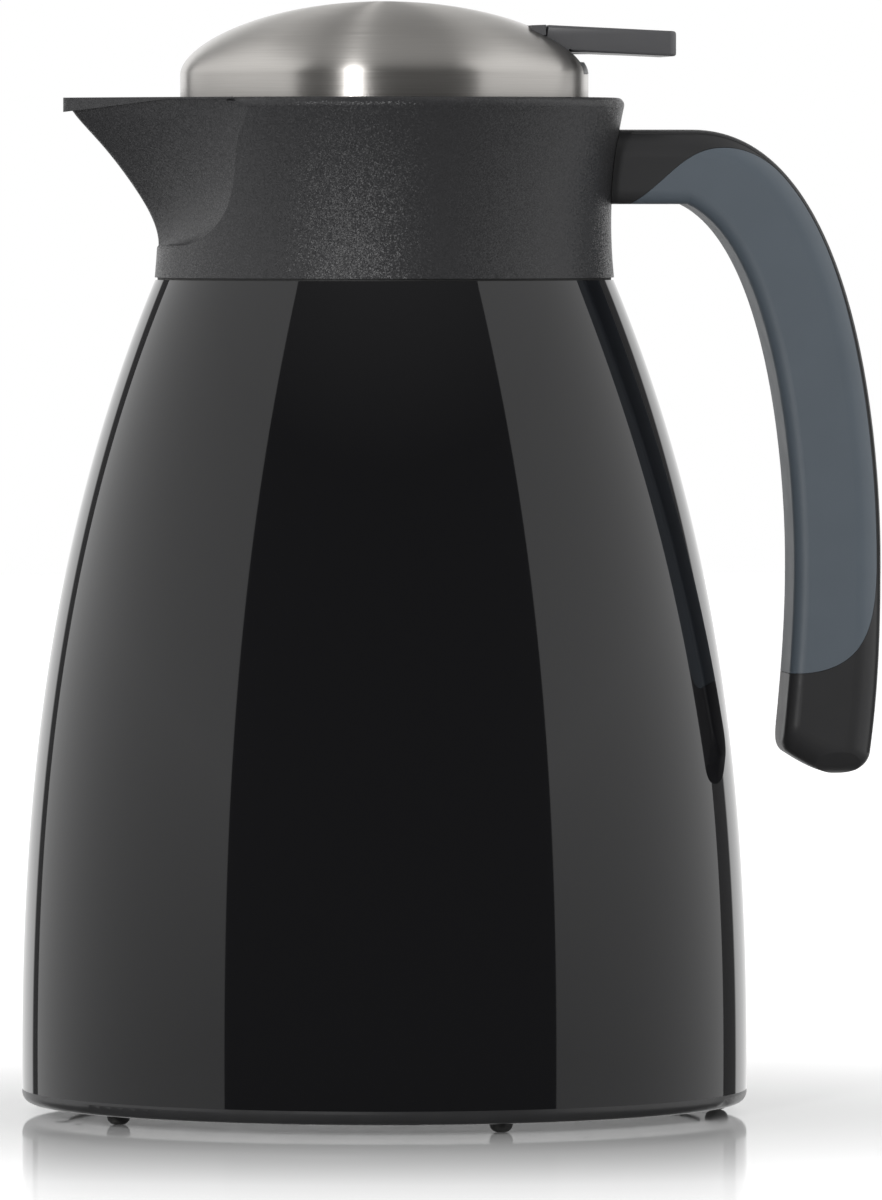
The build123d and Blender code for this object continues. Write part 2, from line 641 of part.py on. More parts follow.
# Lid body: stopper, flange and threaded skirt in one, with windows that let the drink out
def lid_body():
    plug_in = PLUG_R - PLUG_WALL
    skirt_in = LID_SKIRT_R - LID_SKIRT_WALL
    groove_r = PLUG_R - GROOVE_DEPTH
    groove_low = GASKET_Z - MOVING_GAP
    groove_top = GASKET_Z + GASKET_HEIGHT + MOVING_GAP
    floor_z = FLANGE_Z + FLANGE
    body = turned(polygon(
        (SEAT_R, PLUG_BOTTOM_Z), (PLUG_R, PLUG_BOTTOM_Z), (PLUG_R, groove_low), (groove_r, groove_low),
        (groove_r, groove_top), (PLUG_R, groove_top), (PLUG_R, FLANGE_Z), (LID_SKIRT_R, FLANGE_Z),
        (LID_SKIRT_R, LID_SKIRT_TOP_Z), (skirt_in, LID_SKIRT_TOP_Z), (skirt_in, floor_z),
        (plug_in, floor_z), (plug_in, SEAT_Z), (SEAT_R, SEAT_Z)))
    root = LID_SKIRT_R - THREAD_ROOT
    crest = LID_SKIRT_R + THREAD_DEPTH
    for i in range(THREAD_STARTS):
        start = i * 360 / THREAD_STARTS
        body += thread_band(root, crest, LUG_RISE, start, INSERT_Z + LUG_FOOT)
    for half_angle, middle in ((WINDOW_HALF_ANGLE, 180), (VENT_HALF_ANGLE, 0)):
        body -= sector(skirt_in - PAST, LID_SKIRT_R + PAST, half_angle, WINDOW_Z, LID_SKIRT_TOP_Z, middle)
    for post in deck_boss_places(disc(DECK_BOSS_R, FLANGE_Z, LID_SKIRT_TOP_Z)):
        body += post
    for hole in deck_boss_places(disc(SCREW_R + FIT, floor_z, LID_SKIRT_TOP_Z)):
        body -= hole
    return body


def deck_boss_places(piece):
    return around(Pos(DECK_BOSS_CIRCLE_R, 0, 0) * piece, DECK_BOSS_COUNT)


def stopper_gasket():
    inner = PLUG_R - GROOVE_DEPTH + MOVING_GAP
    edge = GASKET_R - GASKET_CHAMFER
    top = GASKET_Z + GASKET_HEIGHT
    valley = (GASKET_R - GASKET_VALLEY, GASKET_Z + GASKET_HEIGHT / 2)
    return turned(polygon(
        (inner, GASKET_Z), (edge, GASKET_Z), (GASKET_R, GASKET_Z + GASKET_CHAMFER), valley,
        (GASKET_R, top - GASKET_CHAMFER), (edge, top), (inner, top)))


# Lid deck: closes the lid body, guides the valve's stem and carries the lever
def lid_deck():
    rim_r = DOME_R - DOME_SHEET - FIT
    rim_in = rim_r - DECK_RIM_WALL
    rim_top = DECK_TOP_Z + DECK_RIM_HEIGHT
    bore_r = STEM_R + SHAFT_FIT
    body = turned(polygon(
        (bore_r, GUIDE_BOTTOM_Z), (GUIDE_R, GUIDE_BOTTOM_Z), (GUIDE_R, DECK_Z), (DECK_R, DECK_Z),
        (DECK_R, DECK_TOP_Z), (rim_r, DECK_TOP_Z), (rim_r, rim_top), (rim_in, rim_top),
        (rim_in, DECK_TOP_Z), (bore_r, DECK_TOP_Z)))
    body -= stem_seal_ring(0)
    for hole in deck_boss_places(disc(SCREW_R + FIT, DECK_Z, DECK_TOP_Z)):
        body -= hole
    for side in (-1, 1):
        body += Pos(0, side * (LEVER_HALF_WIDTH + MOVING_GAP + EAR / 2), 0) * lever_ear()
    return body


def lever_ear():
    """One of the two upright plates that hold the lever's pin."""
    height = LEVER_PIN_Z - DECK_TOP_Z
    plate = Circle(EAR_R) + Pos(0, -height / 2) * Rectangle(EAR_R * 2, height)
    plate -= Circle(LEVER_PIN_R + SHAFT_FIT)
    return across(Pos(LEVER_PIN_X, LEVER_PIN_Z) * plate, EAR / 2)


def stem_seal_ring(clearance):
    low = GUIDE_BOTTOM_Z + STEM_SEAL_RISE
    inner = STEM_R + clearance
    return ring(inner, STEM_R + STEM_SEAL - clearance, low + clearance, low + STEM_SEAL - clearance)


def stem_seal():
    return stem_seal_ring(FIT)


def deck_seal():
    inner = LID_SKIRT_R - LID_SKIRT_WALL + GASKET_SETBACK
    return ring(inner, LID_SKIRT_R - GASKET_SETBACK, LID_SKIRT_TOP_Z, DECK_Z)


def deck_screws():
    return deck_boss_places(Pos(0, 0, DECK_TOP_Z) * Rot(180, 0, 0) * screw())


# Dome: spun steel shell with a slot for the lever, and the black bezel that lines the slot
def dome_space(inset):
    """The space inside the dome's surface moved in by inset."""
    shoulder = (DOME_R - inset, DOME_SHOULDER_Z)
    top = (0, DOME_TOP_Z - inset)
    crown = curve(top, 0, DOME_TOP_PULL, shoulder, -90, DOME_SIDE_PULL)
    below = Polyline(shoulder, (DOME_R - inset, DECK_TOP_Z), (0, DECK_TOP_Z), top)
    return turned(make_face([crown, below]))


def slot_space(inset):
    """The slot's space: from its inner end outwards, above the dome's shoulder."""
    half = SLOT_HALF_WIDTH - inset
    return box((SLOT_INNER_X + inset, BIG), (-half, half), (DOME_SHOULDER_Z + inset, BIG))


def lid_dome():
    return dome_space(0) - dome_space(DOME_SHEET) - slot_space(0)


def lever_passage():
    """The space that the bezel leaves for the lever, which turns down inside it."""
    root_x = LEVER_ROOT_X - MOVING_GAP
    inner_x = DOME_R - SLOT_LENGTH - PAST
    apron_x = DOME_R - PAST
    side = polygon(
        (root_x, DOME_TOP_Z + PAST), (root_x, LEVER_TOP_Z - CREST_HEIGHT), (inner_x, DECK_TOP_Z),
        (apron_x, DECK_TOP_Z), (apron_x, APRON_TOP_Z), (DOME_R + PAST, APRON_TOP_Z),
        (DOME_R + PAST, DOME_TOP_Z + PAST))
    return across(side, LEVER_HALF_WIDTH + MOVING_GAP)


def lever_bezel():
    inside = dome_space(BEZEL_DEPTH)
    half = SLOT_HALF_WIDTH - FIT
    inner_x = SLOT_INNER_X + FIT
    root_x = LEVER_ROOT_X - MOVING_GAP
    lining = (dome_space(0) - inside) & slot_space(FIT)
    low_z = LEVER_TOP_Z - BEZEL_DEPTH
    wedge = polygon((inner_x, low_z), (inner_x, LEVER_TOP_Z - FIT), (root_x, LEVER_TOP_Z), (root_x, low_z))
    crest = across(wedge, half)
    flange = (dome_space(DOME_SHEET + FIT) - inside) & box(
        (inner_x, BIG), (-half - BEZEL_FLANGE, half + BEZEL_FLANGE), (DOME_SHOULDER_Z, DOME_TOP_Z))
    return lining + crest + flange - lever_passage()


# Lever: thumb plate outside the dome, hub on the pin, fork under the valve's head
def lever():
    fall = tan(radians(LEVER_DROOP))
    tip_z = LEVER_TOP_Z - LEVER_REACH * fall
    under_x = LEVER_ROOT_X + LEVER_UNDER_RUN
    under_z = LEVER_TOP_Z - LEVER_THICKNESS - LEVER_UNDER_RUN * fall
    plate = across(polygon(
        (LEVER_ROOT_X, LEVER_TOP_Z), (LEVER_TIP_X, tip_z), (LEVER_TIP_X, tip_z - LEVER_THICKNESS),
        (under_x, under_z), (LEVER_PIN_X + LEVER_HUB_R, ARM_Z), (LEVER_PIN_X, ARM_Z), (LEVER_PIN_X, NIB_Z),
        (LEVER_ROOT_X, LEVER_TOP_Z - LEVER_NECK)), LEVER_HALF_WIDTH)
    plate = fillet(plate.edges().filter_by(Axis.Z).group_by(Axis.X)[-1], LEVER_CORNER)
    hub = across(Pos(LEVER_PIN_X, LEVER_PIN_Z) * Circle(LEVER_HUB_R), LEVER_HALF_WIDTH)
    arm = box((-ARM_OVERHANG, LEVER_PIN_X), (-ARM_HALF_WIDTH, ARM_HALF_WIDTH), (ARM_Z, NIB_Z))
    nibs = across(Pos(0, NIB_Z) * Circle(NIB_R), ARM_HALF_WIDTH)
    fork = STEM_R + FORK_GAP
    slot = box((-BIG, fork), (-fork, fork), (ARM_Z, BIG))
    body = plate + hub + (arm + nibs - slot)
    return body - across(Pos(LEVER_PIN_X, LEVER_PIN_Z) * Circle(LEVER_PIN_R + SHAFT_FIT), BIG)


def lever_pin():
    return across(Pos(LEVER_PIN_X, LEVER_PIN_Z) * Circle(LEVER_PIN_R), LEVER_HALF_WIDTH + MOVING_GAP + EAR)


# Valve: disc with a soft face on the lid's seat, stem up through the deck and a head for the lever
def valve_stem():
    body = disc(STEM_R, VALVE_DISC_Z + VALVE_DISC, HEAD_Z)
    return body + disc(SPRING_COIL_R + SPRING_CUP_LAP, VALVE_DISC_Z + VALVE_DISC, SPRING_Z)


def valve_disc():
    return disc(VALVE_DISC_R, VALVE_DISC_Z, VALVE_DISC_Z + VALVE_DISC)


def valve_seal():
    return ring(SEAT_R - VALVE_SEAL_LAP, VALVE_DISC_R, VALVE_DISC_Z - VALVE_SEAL, VALVE_DISC_Z)


def valve_head():
    cap = disc(HEAD_R, HEAD_Z, HEAD_Z + HEAD)
    return fillet(cap.edges().sort_by(Axis.Z)[-1], HEAD_ROUND)


def valve_spring():
    low = SPRING_Z + SPRING_WIRE_R + FIT
    height = GUIDE_BOTTOM_Z - SPRING_WIRE_R - FIT - low
    path = Pos(0, 0, low) * Helix(pitch=height / SPRING_TURNS, height=height, radius=SPRING_COIL_R)
    wire = Plane(origin=path @ 0, z_dir=path % 0) * Circle(SPRING_WIRE_R)
    return sweep(wire, path=path, is_frenet=True)


# Handle: black frame that hangs from the collar, and the soft grip moulded round its middle
def handle_outline():
    """The handle seen from the side, from its root over the shoulder and down to its free end."""
    root_top = (HANDLE_ROOT_X, HANDLE_TOP_Z)
    root_low = (HANDLE_ROOT_X, HANDLE_UNDER_Z)
    top_turn = (HANDLE_TOP_TURN_X, HANDLE_TOP_Z)
    under_turn = (HANDLE_UNDER_TURN_X, HANDLE_UNDER_Z)
    back = (HANDLE_OUTER_X, HANDLE_OUTER_Z)
    palm = (HANDLE_INNER_X, HANDLE_OUTER_Z)
    end_outer = (HANDLE_END_OUTER_X, HANDLE_END_SIDE_Z)
    end_low = (HANDLE_END_LOW_X, HANDLE_END_Z)
    end_inner = (HANDLE_END_INNER_X, HANDLE_END_SIDE_Z + END_TILT)
    return [
        curve(top_turn, 0, SHOULDER_PULL, back, -90, SHOULDER_PULL),
        curve(back, -90, LOWER_PULL, end_outer, -98, LOWER_PULL),
        curve(end_outer, -98, CORNER_PULL, end_low, 180, SOLE_PULL),
        curve(end_low, 180, SOLE_PULL, end_inner, 147, SOLE_PULL),
        curve(end_inner, 84, LOWER_PULL, palm, 90, LOWER_PULL),
        curve(palm, 90, PALM_PULL, under_turn, 155, PALM_PULL),
        Polyline(under_turn, root_low, root_top, top_turn),
    ]


def handle_square(half_depth):
    """The handle's form before its edges are rounded."""
    return across(make_face(handle_outline()), half_depth)


def handle_end():
    """The space above the handle's end, which is rounded from front to back."""
    half = HANDLE_HALF_DEPTH
    low_left = (-half, HANDLE_END_Z + HANDLE_END_BEVEL)
    low_right = (half, HANDLE_END_Z + HANDLE_END_BEVEL)
    sole = ThreePointArc(low_left, (0, HANDLE_END_Z), low_right)
    sides = Polyline(low_right, (half, COLLAR_TOP_Z), (-half, COLLAR_TOP_Z), low_left)
    return extrude(Plane.YZ * make_face([sole, sides]), amount=BIG)


def long_edges(body, on_back):
    """The handle's edges along its back, or those along the palm's side."""
    middle_x = (HANDLE_OUTER_X + HANDLE_INNER_X) / 2
    found = []
    for edge in body.edges():
        point = edge.center()
        along_side = abs(abs(point.Y) - HANDLE_HALF_DEPTH) < FIT and point.X > HANDLE_ROOT_X + PAST
        above_end = point.Z > HANDLE_END_SIDE_Z + END_TILT
        back = point.Z > HANDLE_TOP_Z - FIT or point.X > middle_x
        if along_side and above_end and back == on_back:
            found.append(edge)
    return found


def handle_body():
    """The whole handle, frame and grip together, with its long edges rounded."""
    body = handle_square(HANDLE_HALF_DEPTH)
    body = fillet(long_edges(body, True), HANDLE_OUTER_FILLET)
    body = fillet(long_edges(body, False), HANDLE_INNER_FILLET)
    return (body & handle_end()) - collar_envelope(FIT)


def grip_space(clearance):
    """The grip's space, cut from side to side; towards the hand it runs past the handle."""
    foot = (GRIP_FOOT_X + clearance, HANDLE_UNDER_Z)
    crest = (GRIP_CREST_X, GRIP_CREST_Z - clearance)
    spine = (HANDLE_OUTER_X - SPINE - clearance, HANDLE_OUTER_Z)
    end = (HANDLE_INNER_X, GRIP_LOW_Z + clearance)
    past_end = (HANDLE_INNER_X - PAST, end[1])
    past_foot = (foot[0], HANDLE_UNDER_Z - PAST)
    outline = [
        curve(foot, 30, FOOT_PULL, crest, 0, FOOT_PULL),
        curve(crest, 0, CREST_PULL, spine, -90, SPINE_PULL),
        curve(spine, -90, END_PULL, end, 180, END_PULL),
        Polyline(end, past_end, past_foot, foot),
    ]
    return across(make_face(outline), HANDLE_DEPTH)


def handle_screw_places(piece):
    """Copies at the two screws that hold the handle's root to the collar."""
    return [Pos(0, side * HANDLE_SCREW_SPACING / 2, HANDLE_SCREW_Z) * piece for side in (-1, 1)]


def handle_frame():
    whole = handle_body()
    square = handle_square(RIB_HALF_WIDTH)
    rib = Pos(GRIP_COVER, 0, GRIP_COVER) * square & Pos(-SPINE / 2, 0, -SPINE / 2) * square
    rib -= disc(HANDLE_ROOT_X + RIB_START, 0, COLLAR_TOP_Z)
    body = (whole - grip_space(0)) + rib
    for hole in handle_screw_places(cylinder_along_x(SCREW_R + FIT, 0, SCREW_SEAT_X + SCREW_LENGTH + FIT)):
        body -= hole
    return body


def handle_grip():
    cover = GRIP_COVER - FIT
    return (handle_body() & grip_space(FIT)) - Pos(cover, 0, cover) * handle_square(RIB_HALF_WIDTH + FIT)


def handle_screws():
    return handle_screw_places(Pos(SCREW_SEAT_X, 0, 0) * Rot(0, 90, 0) * screw())


PIECES = [
    base_cap, base_screws, feet, outer_shell, shell_gasket, flask_outer_wall, flask_inner_wall, vacuum_pads,
    flask_cushion, neck_seal, collar, thread_insert, handle_frame, handle_grip, handle_screws, lid_body,
    stopper_gasket, lid_deck, stem_seal, deck_seal, deck_screws, lid_dome, lever_bezel, lever, lever_pin,
    valve_stem, valve_disc, valve_seal, valve_head, valve_spring,
]

os.makedirs("parts", exist_ok=True)
for piece in PIECES:
    made = piece()
    solids = made if isinstance(made, list) else made.solids()
    shape = solids[0] if len(solids) == 1 else Compound(children=solids)
    export_step(shape, f"parts/{piece.__name__}.step")
    print(piece.__name__, "solids", len(solids), "volume", round(shape.volume))
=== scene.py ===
from math import cos, pi, radians, sin

import bmesh
import bpy
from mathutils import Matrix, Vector
from mathutils.geometry import interpolate_bezier


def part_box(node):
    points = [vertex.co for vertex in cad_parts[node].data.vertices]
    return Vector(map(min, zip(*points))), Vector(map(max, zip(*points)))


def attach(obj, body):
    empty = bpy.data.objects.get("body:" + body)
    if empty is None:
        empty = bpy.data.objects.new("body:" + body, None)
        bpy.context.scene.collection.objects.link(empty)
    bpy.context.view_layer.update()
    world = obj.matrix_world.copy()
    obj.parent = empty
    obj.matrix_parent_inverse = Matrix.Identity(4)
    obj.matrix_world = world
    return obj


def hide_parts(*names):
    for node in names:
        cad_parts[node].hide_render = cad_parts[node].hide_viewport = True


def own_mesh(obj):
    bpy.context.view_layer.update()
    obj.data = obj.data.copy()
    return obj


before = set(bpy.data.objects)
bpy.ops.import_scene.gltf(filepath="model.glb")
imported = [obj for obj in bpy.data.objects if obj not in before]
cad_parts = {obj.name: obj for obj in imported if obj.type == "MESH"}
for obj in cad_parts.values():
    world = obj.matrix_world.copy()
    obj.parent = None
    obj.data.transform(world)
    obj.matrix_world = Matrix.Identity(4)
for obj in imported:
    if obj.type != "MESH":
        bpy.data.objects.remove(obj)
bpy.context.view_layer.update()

# Camera: a long lens almost level with the carafe's lid, with the spout to the left and turned a
# little towards it.
aim = Vector((0.01209, -0.00127, 0.1098))
camera_turn = radians(-6.0)
camera_rise = radians(1.75)
camera_distance = 2.9
backwards = Vector((sin(camera_turn) * cos(camera_rise), -cos(camera_turn) * cos(camera_rise),
                    sin(camera_rise)))
camera = bpy.data.objects.new("camera", bpy.data.cameras.new("camera"))
camera.data.sensor_width = 36.0
camera.data.lens = 405.0
camera.data.clip_end = 100.0
camera.location = aim + backwards * camera_distance
camera.rotation_euler = backwards.to_track_quat("Z", "Y").to_euler()
bpy.context.scene.collection.objects.link(camera)
bpy.context.scene.camera = camera
bpy.context.scene.view_settings.view_transform = "Standard"


# Studio: a white backdrop that shows to the camera and in reflections from behind, dim air in
# front, two tall white panels at the sides that dim towards the floor, a soft ceiling and one
# small lamp in front.
def node_value(tree, operation, *values):
    """A Math node of the given operation, whose inputs are sockets or numbers."""
    node = tree.nodes.new("ShaderNodeMath")
    node.operation = operation
    for socket, value in zip(node.inputs, values):
        if isinstance(value, (int, float)):
            socket.default_value = value
        else:
            tree.links.new(value, socket)
    return node.outputs[0]


def ramp(tree, value, low, high, out_low=0.0, out_high=1.0):
    """Value moved from one range to another and held inside it."""
    node = tree.nodes.new("ShaderNodeMapRange")
    tree.links.new(value, node.inputs["Value"])
    for name, number in (("From Min", low), ("From Max", high), ("To Min", out_low), ("To Max", out_high)):
        node.inputs[name].default_value = number
    return node.outputs["Result"]


studio = bpy.data.worlds.new("studio")
bpy.context.scene.world = studio
studio.use_nodes = True
sky = studio.node_tree
path = sky.nodes.new("ShaderNodeLightPath")
direction = sky.nodes.new("ShaderNodeSeparateXYZ")
sky.links.new(sky.nodes.new("ShaderNodeTexCoord").outputs["Generated"], direction.inputs[0])
forward = sky.nodes.new("ShaderNodeVectorMath")
forward.operation = "DOT_PRODUCT"
forward.inputs[1].default_value = (-sin(camera_turn), cos(camera_turn), 0.0)
sky.links.new(sky.nodes["Texture Coordinate"].outputs["Generated"], forward.inputs[0])
behind = ramp(sky, forward.outputs["Value"], 0.86, 0.875)
overhead = ramp(sky, direction.outputs["Z"], 0.5, 0.95, 0.0, 0.36)
mirrored = node_value(sky, "ADD", node_value(sky, "MAXIMUM", behind, overhead), 0.11)
mirrored = node_value(sky, "MULTIPLY", mirrored, path.outputs["Is Glossy Ray"])
seen = node_value(sky, "MAXIMUM", path.outputs["Is Camera Ray"], path.outputs["Is Transmission Ray"])
ambient = node_value(sky, "MULTIPLY", path.outputs["Is Diffuse Ray"], 0.5)
level = node_value(sky, "ADD", node_value(sky, "MAXIMUM", seen, mirrored), ambient)
sky.links.new(level, sky.nodes["Background"].inputs["Strength"])
sky.nodes["Background"].inputs["Color"].default_value = (1.0, 1.0, 1.0, 1.0)


def lamp(name, angle, distance, height, size, radiance, tilt=0.0):
    """A rectangular lamp that faces the carafe; its angle runs from the camera's side to the left."""
    light = bpy.data.lights.new(name, "AREA")
    light.shape = "RECTANGLE"
    light.size, light.size_y = size
    light.energy = radiance * size[0] * size[1] * pi
    stand = bpy.data.objects.new(name, light)
    away = Vector((-sin(radians(angle)), -cos(radians(angle)), 0.0))
    stand.location = away * distance + Vector((0.0, 0.0, height))
    towards = Vector((away.x, away.y, tilt))
    stand.rotation_euler = towards.to_track_quat("Z", "Y").to_euler()
    stand.visible_camera = False
    bpy.context.scene.collection.objects.link(stand)
    return stand


for name, angle, width in (("left_panel", 102.2, 2.47), ("right_panel", -88.8, 2.01)):
    panel = lamp(name, angle, 1.2, 0.9, (width, 2.6), 0.95)
    panel.data.use_nodes = True
    tree = panel.data.node_tree
    place = tree.nodes.new("ShaderNodeSeparateXYZ")
    tree.links.new(tree.nodes.new("ShaderNodeNewGeometry").outputs["Parametric"], place.inputs[0])
    fade = ramp(tree, place.outputs["Y"], 0.13, 0.27, 0.66, 1.0)
    tree.links.new(fade, tree.nodes["Emission"].inputs["Strength"])
front_lamp = lamp("front_lamp", 23.0, 2.0, 0.62, (0.16, 0.16), 190.0, tilt=0.2)


# Floor: a white polished sheet, which mirrors the carafe's foot less and less with distance. To the
# camera it also glows white, which runs it into the white behind it without a line; the glow is
# left out near the foot, so a painted shade rings the carafe.
floor_mesh = bmesh.new()
bmesh.ops.create_grid(floor_mesh, x_segments=1, y_segments=1, size=4.0)
floor_data = bpy.data.meshes.new("floor")
floor_mesh.to_mesh(floor_data)
floor_mesh.free()
floor = bpy.data.objects.new("floor", floor_data)
floor.visible_glossy = False
bpy.context.scene.collection.objects.link(floor)
white_floor = bpy.data.materials.new("white_floor")
white_floor.use_nodes = True
tree = white_floor.node_tree
surface = tree.nodes["Principled BSDF"]
surface.inputs["Base Color"].default_value = (0.85, 0.85, 0.85, 1.0)
surface.inputs["Roughness"].default_value = 0.6
from_middle = tree.nodes.new("ShaderNodeVectorMath")
from_middle.operation = "LENGTH"
tree.links.new(tree.nodes.new("ShaderNodeTexCoord").outputs["Object"], from_middle.inputs[0])
distance = from_middle.outputs["Value"]
path = tree.nodes.new("ShaderNodeLightPath")
seen = node_value(tree, "MAXIMUM", path.outputs["Is Camera Ray"], path.outputs["Is Transmission Ray"])
surface.inputs["Emission Color"].default_value = (1.0, 1.0, 1.0, 1.0)
# Painted shade and light: no glow within 85 mm of the middle and full glow from 220 mm, so the floor is
# darker round the foot and white further off.
painted_floor_glow = ramp(tree, distance, 0.085, 0.22, 0.0, 0.6)
tree.links.new(node_value(tree, "MULTIPLY", seen, painted_floor_glow), surface.inputs["Emission Strength"])
polish = tree.nodes.new("ShaderNodeBsdfAnisotropic")
polish.inputs["Roughness"].default_value = 0.05
polished = tree.nodes.new("ShaderNodeMixShader")
mirror = ramp(tree, distance, 0.03, 0.42, 0.76, 0.0)
tree.links.new(node_value(tree, "MULTIPLY", seen, mirror), polished.inputs[0])
tree.links.new(surface.outputs[0], polished.inputs[1])
tree.links.new(polish.outputs[0], polished.inputs[2])
tree.links.new(polished.outputs[0], tree.nodes["Material Output"].inputs["Surface"])
floor_data.materials.append(white_floor)


# Outer shell: one tapered wall of high-gloss black plastic, open below for the base and drawn in
# at the top to a ledge that the collar sits on.
def finish(name, colour, roughness, **numbers):
    """A plain material; further numbers go straight on the shader's own sockets."""
    material = bpy.data.materials.new(name)
    material.use_nodes = True
    shader = material.node_tree.nodes["Principled BSDF"]
    shader.inputs["Base Color"].default_value = (*colour, 1.0)
    shader.inputs["Roughness"].default_value = roughness
    for socket, number in numbers.items():
        shader.inputs[socket.replace("_", " ").title().replace("Ior", "IOR")].default_value = number
    return material


def own_place(material):
    """The piece's own coordinates."""
    return material.node_tree.nodes.new("ShaderNodeTexCoord").outputs["Object"]


def mottle(material, scale, detail=2.0, stretch=(1.0, 1.0, 1.0)):
    """Noise on the piece's own coordinates, as a socket that runs from 0 to 1."""
    tree = material.node_tree
    place = tree.nodes.new("ShaderNodeMapping")
    place.inputs["Scale"].default_value = stretch
    tree.links.new(own_place(material), place.inputs["Vector"])
    noise = tree.nodes.new("ShaderNodeTexNoise")
    noise.inputs["Scale"].default_value = scale
    noise.inputs["Detail"].default_value = detail
    tree.links.new(place.outputs["Vector"], noise.inputs["Vector"])
    return noise.outputs["Fac"]


def relief(material, height, depth):
    """Raises the surface by the height socket, up to the depth in metres."""
    tree = material.node_tree
    bump = tree.nodes.new("ShaderNodeBump")
    bump.inputs["Distance"].default_value = depth
    bump.inputs["Strength"].default_value = 1.0
    tree.links.new(height, bump.inputs["Height"])
    tree.links.new(bump.outputs["Normal"], tree.nodes["Principled BSDF"].inputs["Normal"])


def vary(material, socket, value, low, high):
    """Drives one of the shader's sockets by a value that runs from 0 to 1."""
    tree = material.node_tree
    tree.links.new(ramp(tree, value, 0.0, 1.0, low, high), tree.nodes["Principled BSDF"].inputs[socket])


def turned(outline, steps=256):
    """A closed outline in the XZ plane, spun once round the Z axis."""
    shape = bmesh.new()
    corners = [shape.verts.new(point) for point in outline]
    sides = [shape.edges.new(pair) for pair in zip(corners, corners[1:] + corners[:1])]
    bmesh.ops.spin(shape, geom=corners + sides, cent=(0, 0, 0), axis=(0, 0, 1), angle=2 * pi, steps=steps,
                   use_merge=True)
    bmesh.ops.remove_doubles(shape, verts=shape.verts, dist=1e-7)
    bmesh.ops.recalc_face_normals(shape, faces=shape.faces)
    return shape


def piece(name, shape, body, material, sharp=35.0):
    """Turns a finished bmesh into an object that rides on a body."""
    data = bpy.data.meshes.new(name)
    shape.to_mesh(data)
    shape.free()
    data.materials.append(material)
    data.polygons.foreach_set("use_smooth", [True] * len(data.polygons))
    data.set_sharp_from_angle(angle=radians(sharp))
    made = bpy.data.objects.new(name, data)
    bpy.context.scene.collection.objects.link(made)
    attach(made, body)
    return made


def bow(start, start_angle, start_pull, end, end_angle, end_pull, count):
    """Points on a smooth curve in the XZ plane that leaves and arrives at the given angles."""
    leave = Vector((cos(radians(start_angle)), 0.0, sin(radians(start_angle)))) * start_pull
    arrive = Vector((cos(radians(end_angle)), 0.0, sin(radians(end_angle)))) * end_pull
    start, end = Vector(start), Vector(end)
    return interpolate_bezier(start, start + leave, end - arrive, end, count)


gloss_black = finish("gloss_black", (0.005, 0.005, 0.006), 0.03, ior=1.5)
vary(gloss_black, "Roughness", mottle(gloss_black, 60.0), 0.02, 0.045)
low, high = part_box("outer_shell")
shoulder_radius, ledge_radius, shell_wall = 0.0492, 0.043, 0.0022
foot_lean, shoulder_lean, shell_pull = 89.5, 112.8, 0.06
shell_foot = (high.x, 0.0, low.z)
shell_shoulder = (shoulder_radius, 0.0, high.z)
outer_line = bow(shell_foot, foot_lean, shell_pull, shell_shoulder, shoulder_lean, shell_pull, 96)
inner_top = high.z - shell_wall
inner_line = [point + Vector((-shell_wall, 0.0, 0.0)) for point in outer_line if point.z < inner_top]
shell_shape = turned([*outer_line, Vector((ledge_radius, 0.0, high.z)),
                      Vector((ledge_radius, 0.0, inner_top)), *reversed(inner_line)])
shell = piece("shell", shell_shape, "carafe", gloss_black)
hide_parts("outer_shell")
unlit = bpy.data.collections.new("kept_from_front_lamp")
unlit.objects.link(shell)
front_lamp.light_linking.receiver_collection = unlit
unlit.collection_objects[0].light_linking.link_state = "EXCLUDE"


# Shell gasket: a thin ring of black rubber, squeezed between the shell's ledge and the collar.
def dress(material, *names):
    """Gives a finish to CAD nodes, whose shapes stay as they are."""
    for name in names:
        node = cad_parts[name]
        node.data.materials.clear()
        node.data.materials.append(material)


def colour_blend(material, value, dark, light):
    """Base colour that runs between two colours as the value goes from 0 to 1."""
    tree = material.node_tree
    blend = tree.nodes.new("ShaderNodeMix")
    blend.data_type = "RGBA"
    tree.links.new(value, blend.inputs["Factor"])
    blend.inputs["A"].default_value = (*dark, 1.0)
    blend.inputs["B"].default_value = (*light, 1.0)
    tree.links.new(blend.outputs["Result"], tree.nodes["Principled BSDF"].inputs["Base Color"])


gasket_rubber = finish("gasket_rubber", (0.012, 0.012, 0.012), 0.6)
colour_blend(gasket_rubber, mottle(gasket_rubber, 300.0), (0.008, 0.008, 0.008), (0.018, 0.018, 0.018))
vary(gasket_rubber, "Roughness", mottle(gasket_rubber, 900.0), 0.5, 0.7)
dress(gasket_rubber, "shell_gasket")


# Base cap: the floor of the carafe, moulded in black plastic with a satin rim that shows below
# the shell and a cup inside that centres the flask.
base_plastic = finish("base_plastic", (0.022, 0.022, 0.023), 0.33)
colour_blend(base_plastic, mottle(base_plastic, 120.0), (0.019, 0.019, 0.02), (0.026, 0.026, 0.027))
vary(base_plastic, "Roughness", mottle(base_plastic, 200.0), 0.28, 0.4)
relief(base_plastic, mottle(base_plastic, 3000.0), 0.00001)
dress(base_plastic, "base_cap")


# Feet: five pegs of soft black rubber, pressed under the base's rim, a little dusty with use.
foot_rubber = finish("foot_rubber", (0.02, 0.02, 0.02), 0.65)
colour_blend(foot_rubber, ramp(foot_rubber.node_tree, mottle(foot_rubber, 700.0, 4.0), 0.45, 0.7),
             (0.016, 0.016, 0.016), (0.05, 0.049, 0.047))
relief(foot_rubber, mottle(foot_rubber, 2500.0), 0.00002)
dress(foot_rubber, "feet")


